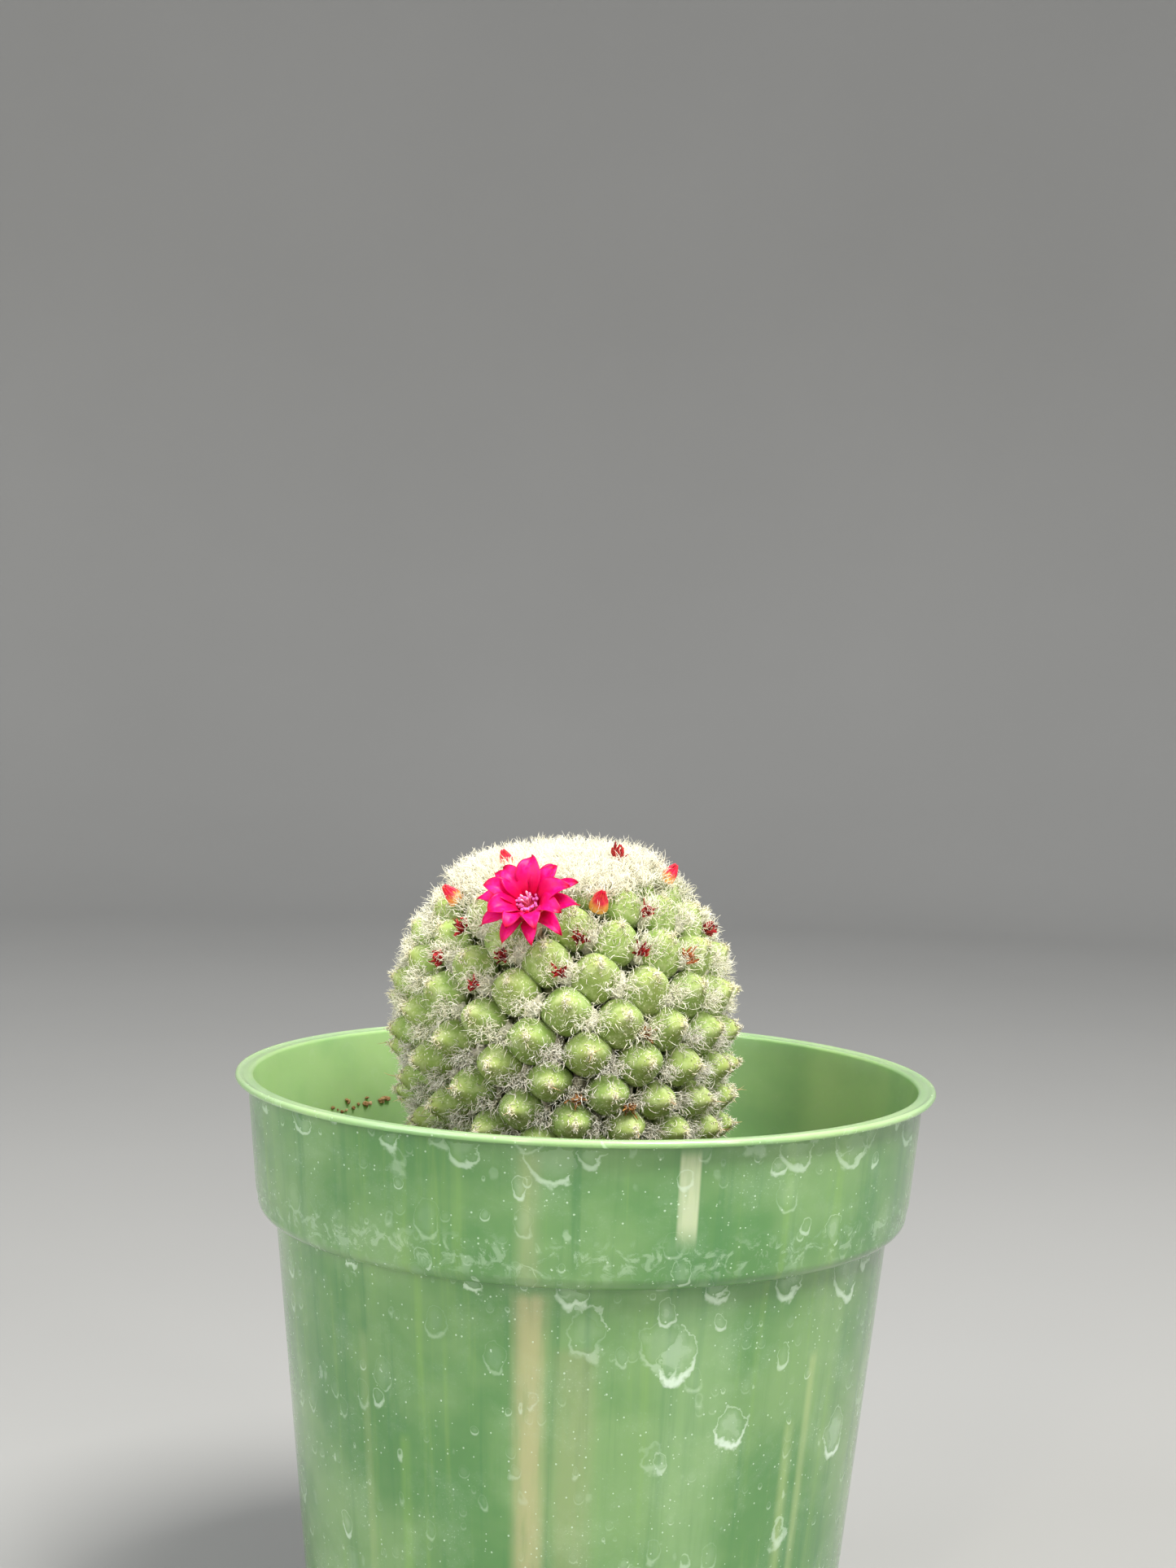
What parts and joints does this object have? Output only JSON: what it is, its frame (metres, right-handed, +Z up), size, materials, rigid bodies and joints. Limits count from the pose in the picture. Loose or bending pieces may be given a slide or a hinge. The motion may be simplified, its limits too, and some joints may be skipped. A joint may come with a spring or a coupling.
{
  "type": "potted round cactus",
  "caption": "Round woolly cactus with spiral tubercles, an open flower, buds and dried flowers, in a plain tapered nursery pot with a deep collar.",
  "frame": {"origin": "centre of the pot's flat base, on the surface the pot stands on", "axes": "+Z up along the pot's axis; -Y is the side of the open flower, +X to the right when facing the flower"},
  "size_m": [0.114, 0.114, 0.1456],
  "materials": {
    "pot": "glossy sage green polypropylene with pale mineral stains",
    "soil": "coarse dark potting mix with pale grit",
    "stem": "matt green skin with fine pale flecks",
    "wool": "dense cream-white curly wool",
    "flower_tube": "pale pink, smooth",
    "petal": "satin magenta with red tips",
    "stamens": "pink-lilac filaments and anthers",
    "stigma": "pale pink",
    "bud": "satin red, orange at the foot",
    "dried_flower": "dry dark red remains of a flower"
  },
  "bodies": {
    "root": {"pot": "pot", "soil": "soil", "cactus_stem": "stem", "crown_wool": "wool", "flower_tube": "flower_tube", "inner_petal_01": "petal", "inner_petal_02": "petal", "inner_petal_03": "petal", "inner_petal_04": "petal", "inner_petal_05": "petal", "inner_petal_06": "petal", "inner_petal_07": "petal", "inner_petal_08": "petal", "outer_petal_01": "petal", "outer_petal_02": "petal", "outer_petal_03": "petal", "outer_petal_04": "petal", "outer_petal_05": "petal", "outer_petal_06": "petal", "outer_petal_07": "petal", "outer_petal_08": "petal", "flower_stamens": "stamens", "flower_stigma": "stigma", "bud_01": "bud", "bud_02": "bud", "bud_03": "bud", "bud_04": "bud", "dried_flower_01": "dried_flower", "dried_flower_02": "dried_flower", "dried_flower_03": "dried_flower", "dried_flower_04": "dried_flower", "dried_flower_05": "dried_flower", "dried_flower_06": "dried_flower", "dried_flower_07": "dried_flower", "dried_flower_08": "dried_flower", "dried_flower_09": "dried_flower", "dried_flower_10": "dried_flower", "dried_flower_11": "dried_flower", "dried_flower_12": "dried_flower", "dried_flower_13": "dried_flower", "dried_flower_14": "dried_flower"}
  },
  "joints": []
}
